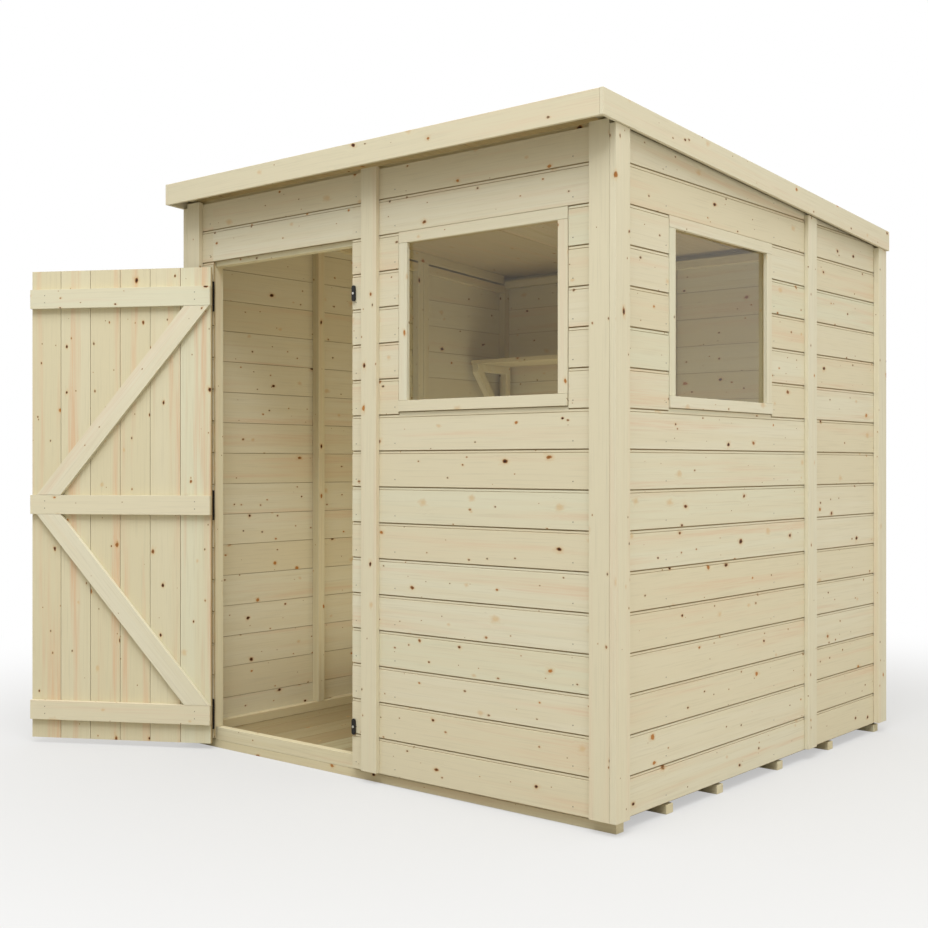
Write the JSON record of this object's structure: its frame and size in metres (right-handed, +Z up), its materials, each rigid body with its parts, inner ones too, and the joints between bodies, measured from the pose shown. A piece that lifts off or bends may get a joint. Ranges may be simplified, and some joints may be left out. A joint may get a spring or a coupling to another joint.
{
  "type": "garden shed",
  "caption": "Small wooden garden shed with a single-slope roof, shiplap boards, a ledged and braced door, side and front windows and a corner shelf.",
  "frame": {"origin": "middle of the underside of the front floor bearer, on the ground", "axes": "+Z up, -Y out of the front wall with the door and the front window, +X towards the wall with the side window"},
  "size_m": [2.3253, 2.2444, 2.0276],
  "materials": {
    "cladding_wood": "matt treated softwood boards",
    "trim_wood": "matt planed softwood",
    "frame_wood": "matt sawn softwood",
    "floor_wood": "matt softwood floor boards",
    "roof_wood": "matt softwood sheet",
    "roof_felt": "mineral-faced felt",
    "window_glass": "clear glass",
    "black_iron": "black painted iron",
    "screw_steel": "bright zinc plated steel"
  },
  "bodies": {
    "shed": {"floor_bearers": "frame_wood", "floor_boards": "floor_wood", "front_rails": "frame_wood", "front_posts": "frame_wood", "left_rails": "frame_wood", "left_posts": "frame_wood", "right_rails": "frame_wood", "right_posts": "frame_wood", "back_rails": "frame_wood", "back_posts": "frame_wood", "front_cladding_left": "cladding_wood", "front_cladding_over_door": "cladding_wood", "front_cladding_right": "cladding_wood", "right_cladding_front": "cladding_wood", "right_cladding_back": "cladding_wood", "left_cladding_front": "cladding_wood", "left_cladding_back": "cladding_wood", "back_cladding_left": "cladding_wood", "back_cladding_right": "cladding_wood", "front_corner_boards": "trim_wood", "back_corner_boards": "trim_wood", "side_corner_boards": "trim_wood", "panel_joint_strips": "trim_wood", "front_window_frame": "trim_wood", "front_window_sill": "trim_wood", "front_window_glass": "window_glass", "side_window_frame": "trim_wood", "side_window_sill": "trim_wood", "side_window_glass": "window_glass", "roof_boards": "roof_wood", "roof_felt": "roof_felt", "roof_battens": "frame_wood", "front_fascia": "trim_wood", "back_fascia": "trim_wood", "right_fascia": "trim_wood", "left_fascia": "trim_wood", "shelf_board": "frame_wood", "shelf_brackets": "frame_wood", "hinge_leaves": "black_iron", "button_screws": "screw_steel"},
    "door": {"door_boards": "cladding_wood", "door_ledges": "trim_wood", "door_braces": "trim_wood", "hinge_straps": "black_iron"},
    "low_button": {"turn_button_low": "black_iron"},
    "high_button": {"turn_button_high": "black_iron"}
  },
  "joints": [
    {"name": "door_hinge", "type": "hinge", "parent": "shed", "child": "door", "pos_m": [-0.784, -0.0405, 0.9], "axis": [0, 0, 1], "range_deg": [0, 150]},
    {"name": "low_button_turn", "type": "hinge", "parent": "shed", "child": "low_button", "pos_m": [-0.077, -0.041, 0.171], "axis": [0, 1, 0], "range_deg": [0, 90]},
    {"name": "high_button_turn", "type": "hinge", "parent": "shed", "child": "high_button", "pos_m": [-0.077, -0.041, 1.57], "axis": [0, 1, 0], "range_deg": [0, 90]}
  ]
}
